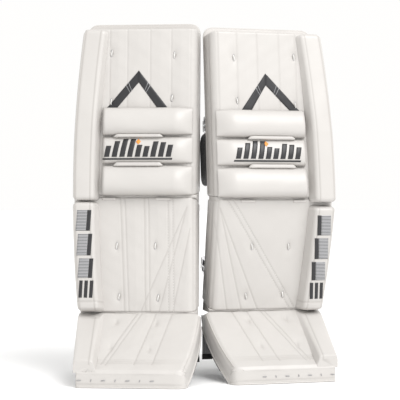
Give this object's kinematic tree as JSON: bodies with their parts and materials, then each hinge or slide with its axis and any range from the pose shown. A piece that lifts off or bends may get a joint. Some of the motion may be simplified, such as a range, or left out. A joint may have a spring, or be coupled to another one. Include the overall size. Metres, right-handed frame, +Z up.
{
  "type": "goalie leg pads",
  "caption": "Pair of white ice hockey goalie leg pads standing on their boots, with knee rolls, outer rolls, leg wings, straps and buckles.",
  "frame": {"origin": "on the floor, under the middle of the pair's bounding box", "axes": "+Z up along the pads, +X towards the pad of the left leg, -Y towards the pads' fronts"},
  "size_m": [0.5926, 0.411, 0.8022],
  "materials": {
    "white_leather": "satin",
    "padded_roll": "satin",
    "foam": "matte",
    "stiffener": "matte",
    "black_nylon": "matte",
    "black_lining": "matte",
    "black_wing": "matte",
    "strap_leather": "satin",
    "buckle_steel": "polished",
    "grey_webbing": "matte",
    "black_plastic": "matte"
  },
  "bodies": {
    "right_thigh": {"right_thigh_cover": "white_leather", "right_thigh_core": "foam", "right_thigh_board": "stiffener", "right_thigh_back_panel": "black_nylon", "right_thigh_liner": "black_lining", "right_outer_roll_upper": "padded_roll", "right_knee_welts": "white_leather", "right_knee_strap_tab": "strap_leather", "right_knee_roll_lower": "padded_roll", "right_knee_roll_middle": "padded_roll", "right_knee_roll_upper": "padded_roll"},
    "right_shin": {"right_shin_cover": "white_leather", "right_shin_core": "foam", "right_shin_board": "stiffener", "right_shin_liner": "black_lining", "right_outer_roll_lower": "padded_roll", "right_knee_block": "black_nylon", "right_calf_strap_tab": "strap_leather"},
    "right_boot": {"right_boot_cover": "white_leather", "right_boot_core": "foam", "right_outer_roll_boot": "padded_roll", "right_toe_bridge": "black_plastic"},
    "right_calf_wing_inner": {"right_calf_wing_inner": "black_wing"},
    "right_calf_wing_outer": {"right_calf_wing_outer": "black_wing"},
    "right_knee_wing": {"right_knee_wing": "black_wing"},
    "right_knee_strap": {"right_knee_strap": "strap_leather"},
    "right_knee_buckle": {"right_knee_buckle": "buckle_steel"},
    "right_calf_strap": {"right_calf_strap": "strap_leather"},
    "right_calf_buckle": {"right_calf_buckle": "buckle_steel"},
    "right_boot_strap": {"right_boot_strap": "grey_webbing"},
    "left_thigh": {"left_thigh_cover": "white_leather", "left_thigh_core": "foam", "left_thigh_board": "stiffener", "left_thigh_back_panel": "black_nylon", "left_thigh_liner": "black_lining", "left_outer_roll_upper": "padded_roll", "left_knee_welts": "white_leather", "left_knee_strap_tab": "strap_leather", "left_knee_roll_lower": "padded_roll", "left_knee_roll_middle": "padded_roll", "left_knee_roll_upper": "padded_roll"},
    "left_shin": {"left_shin_cover": "white_leather", "left_shin_core": "foam", "left_shin_board": "stiffener", "left_shin_liner": "black_lining", "left_outer_roll_lower": "padded_roll", "left_knee_block": "black_nylon", "left_calf_strap_tab": "strap_leather"},
    "left_boot": {"left_boot_cover": "white_leather", "left_boot_core": "foam", "left_outer_roll_boot": "padded_roll", "left_toe_bridge": "black_plastic"},
    "left_calf_wing_inner": {"left_calf_wing_inner": "black_wing"},
    "left_calf_wing_outer": {"left_calf_wing_outer": "black_wing"},
    "left_knee_wing": {"left_knee_wing": "black_wing"},
    "left_knee_strap": {"left_knee_strap": "strap_leather"},
    "left_knee_buckle": {"left_knee_buckle": "buckle_steel"},
    "left_calf_strap": {"left_calf_strap": "strap_leather"},
    "left_calf_buckle": {"left_calf_buckle": "buckle_steel"},
    "left_boot_strap": {"left_boot_strap": "grey_webbing"}
  },
  "joints": [
    {"name": "right_knee_flex", "type": "hinge", "parent": "right_shin", "child": "right_thigh", "pos_m": [-0.15563, -0.0138, 0.40636], "axis": [0.9962, -0.0872, 0], "range_deg": [-9, 1], "stiffness_Nm_per_rad": 60},
    {"name": "right_boot_flex", "type": "hinge", "parent": "right_shin", "child": "right_boot", "pos_m": [-0.15722, -0.032, 0.145], "axis": [0.9962, -0.0872, 0], "range_deg": [-8, 12], "stiffness_Nm_per_rad": 90},
    {"name": "right_calf_wing_inner_fold", "type": "hinge", "parent": "right_shin", "child": "right_calf_wing_inner", "pos_m": [-0.05991, 0.02479, 0.20092], "axis": [0.0773, 0.0631, 0.995], "range_deg": [0, 35]},
    {"name": "right_calf_wing_outer_fold", "type": "hinge", "parent": "right_shin", "child": "right_calf_wing_outer", "pos_m": [-0.24319, 0.04083, 0.20092], "axis": [0.0652, -0.0755, -0.995], "range_deg": [0, 35]},
    {"name": "right_knee_wing_fold", "type": "hinge", "parent": "right_thigh", "child": "right_knee_wing", "pos_m": [-0.0276, 0.0498, 0.51142], "axis": [0.0061, 0.0695, 0.9976], "range_deg": [0, 35]},
    {"name": "right_knee_strap_open", "type": "hinge", "parent": "right_thigh", "child": "right_knee_strap", "pos_m": [-0.27113, 0.07729, 0.58517], "axis": [0.0061, 0.0695, 0.9976], "range_deg": [0, 70]},
    {"name": "right_knee_buckle_swing", "type": "hinge", "parent": "right_thigh", "child": "right_knee_buckle", "pos_m": [-0.02385, 0.08119, 0.58339], "axis": [-0.0061, -0.0695, -0.9976], "range_deg": [0, 20]},
    {"name": "right_calf_strap_open", "type": "hinge", "parent": "right_shin", "child": "right_calf_strap", "pos_m": [-0.27389, 0.04575, 0.21849], "axis": [0.0061, 0.0695, 0.9976], "range_deg": [0, 70]},
    {"name": "right_calf_buckle_swing", "type": "hinge", "parent": "right_shin", "child": "right_calf_buckle", "pos_m": [-0.02609, 0.05561, 0.21629], "axis": [-0.0061, -0.0695, -0.9976], "range_deg": [0, 20]},
    {"name": "right_boot_strap_swing", "type": "hinge", "parent": "right_boot", "child": "right_boot_strap", "pos_m": [-0.02479, 0.00158, 0.112], "axis": [0.9962, -0.0872, 0], "range_deg": [-10, 40]},
    {"name": "left_knee_flex", "type": "hinge", "parent": "left_shin", "child": "left_thigh", "pos_m": [0.15624, -0.00952, 0.40127], "axis": [0.9641, 0.2656, 0], "range_deg": [-1, 12], "stiffness_Nm_per_rad": 60},
    {"name": "left_boot_flex", "type": "hinge", "parent": "left_shin", "child": "left_boot", "pos_m": [0.14178, 0.043, 0.145], "axis": [0.9641, 0.2656, 0], "range_deg": [-8, 15], "stiffness_Nm_per_rad": 90},
    {"name": "left_calf_wing_inner_fold", "type": "hinge", "parent": "left_shin", "child": "left_calf_wing_inner", "pos_m": [0.04058, 0.064, 0.21669], "axis": [0.0139, 0.2189, -0.9756], "range_deg": [0, 35]},
    {"name": "left_calf_wing_outer_fold", "type": "hinge", "parent": "left_shin", "child": "left_calf_wing_outer", "pos_m": [0.21795, 0.11286, 0.21669], "axis": [0.124, -0.1809, 0.9756], "range_deg": [0, 35]},
    {"name": "left_knee_wing_fold", "type": "hinge", "parent": "left_thigh", "child": "left_knee_wing", "pos_m": [0.01017, 0.03128, 0.50367], "axis": [0.0278, -0.1008, -0.9945], "range_deg": [0, 35]},
    {"name": "left_knee_strap_open", "type": "hinge", "parent": "left_thigh", "child": "left_knee_strap", "pos_m": [0.25176, 0.10688, 0.57716], "axis": [0.0278, -0.1008, -0.9945], "range_deg": [0, 70]},
    {"name": "left_knee_buckle_swing", "type": "hinge", "parent": "left_thigh", "child": "left_knee_buckle", "pos_m": [0.00786, 0.06601, 0.57449], "axis": [-0.0278, 0.1008, 0.9945], "range_deg": [0, 20]},
    {"name": "left_calf_strap_open", "type": "hinge", "parent": "left_shin", "child": "left_calf_strap", "pos_m": [0.24857, 0.11849, 0.23419], "axis": [-0.0552, 0.2004, -0.9781], "range_deg": [0, 70]},
    {"name": "left_calf_buckle_swing", "type": "hinge", "parent": "left_shin", "child": "left_calf_buckle", "pos_m": [0.00322, 0.08287, 0.24074], "axis": [0.0552, -0.2004, 0.9781], "range_deg": [0, 20]},
    {"name": "left_boot_strap_swing", "type": "hinge", "parent": "left_boot", "child": "left_boot_strap", "pos_m": [0.00546, 0.05212, 0.112], "axis": [0.9641, 0.2656, 0], "range_deg": [-10, 40]},
    {"name": "pair_spread", "type": "slide", "parent": "right_shin", "child": "left_shin", "axis": [1, 0, 0], "range_m": [0, 0.15]}
  ]
}
